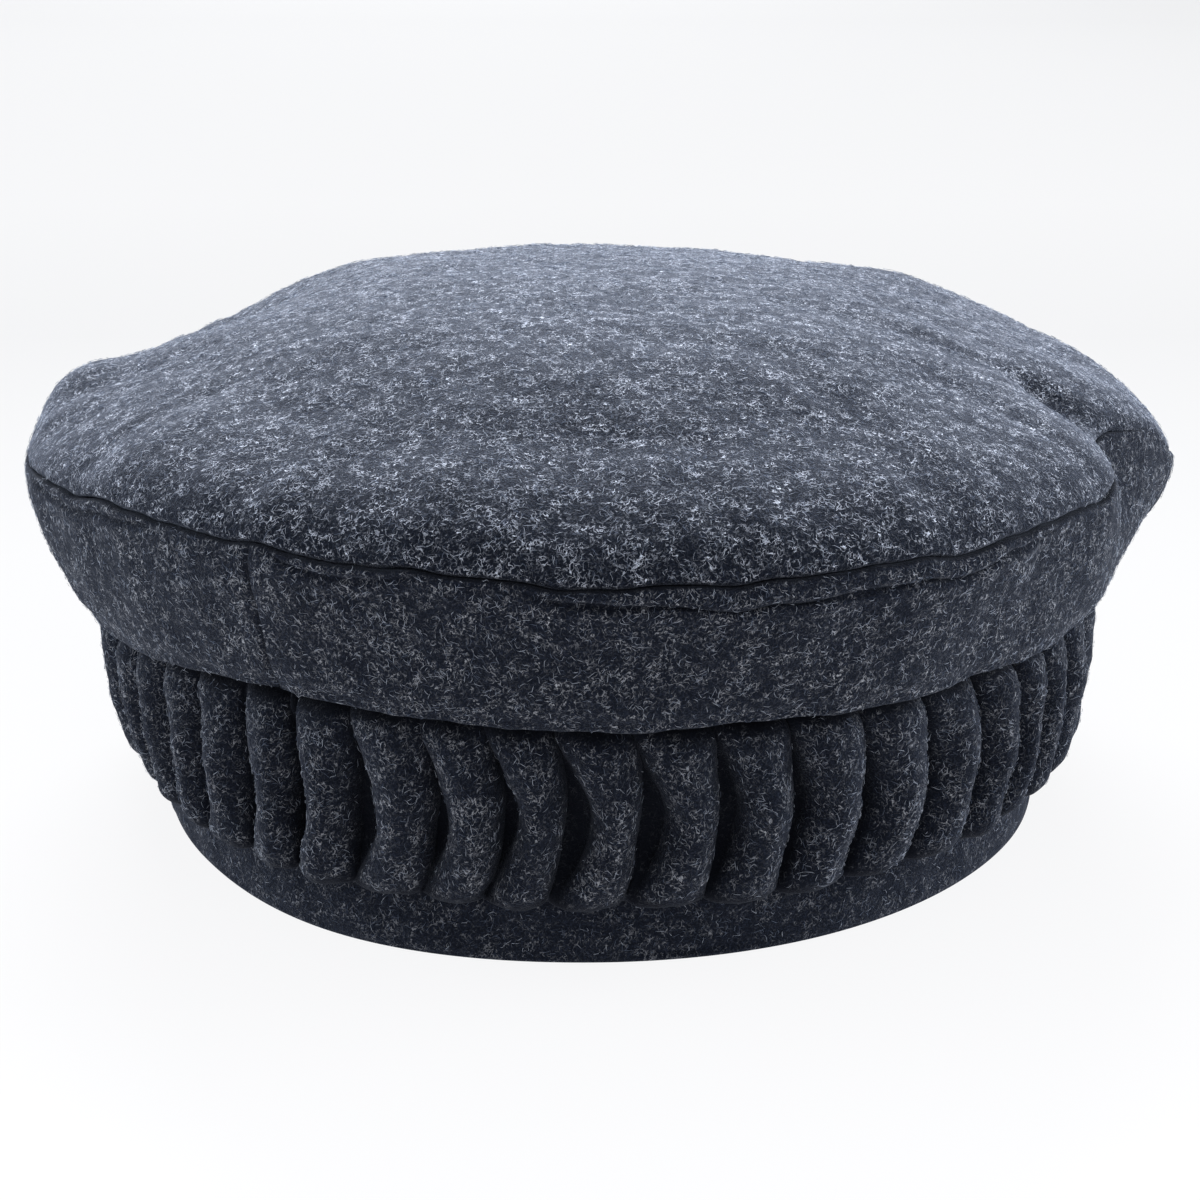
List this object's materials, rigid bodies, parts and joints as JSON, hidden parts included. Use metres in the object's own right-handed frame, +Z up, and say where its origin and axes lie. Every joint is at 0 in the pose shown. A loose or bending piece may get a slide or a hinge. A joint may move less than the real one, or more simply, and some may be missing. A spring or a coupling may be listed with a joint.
{
  "type": "pakol",
  "caption": "Soft round wool cap: domed crown, plain side strip that overhangs like a cuff, a band of deep upright pleats below it and a plain head band, open below for the head.",
  "frame": {"origin": "middle of the cap's outline, in the plane that the head band rests on", "axes": "+Z up through the crown, -Y to the front of the cap, +X to the wearer's left"},
  "size_m": [0.2408, 0.2276, 0.1065],
  "materials": {
    "crown_wool": "brushed melton wool, heathered navy and charcoal with pale grey fibres, matt with a soft nap",
    "side_wool": "brushed melton wool, heathered navy and charcoal with pale grey fibres, matt with a soft nap",
    "pleat_wool": "brushed melton wool, heathered navy and charcoal, gathered into deep upright pleats",
    "band_wool": "brushed melton wool, heathered navy and charcoal, folded in two and pressed"
  },
  "bodies": {
    "root": {"crown_top": "crown_wool", "crown_side": "side_wool", "pleated_band": "pleat_wool", "head_band": "band_wool"}
  },
  "joints": []
}
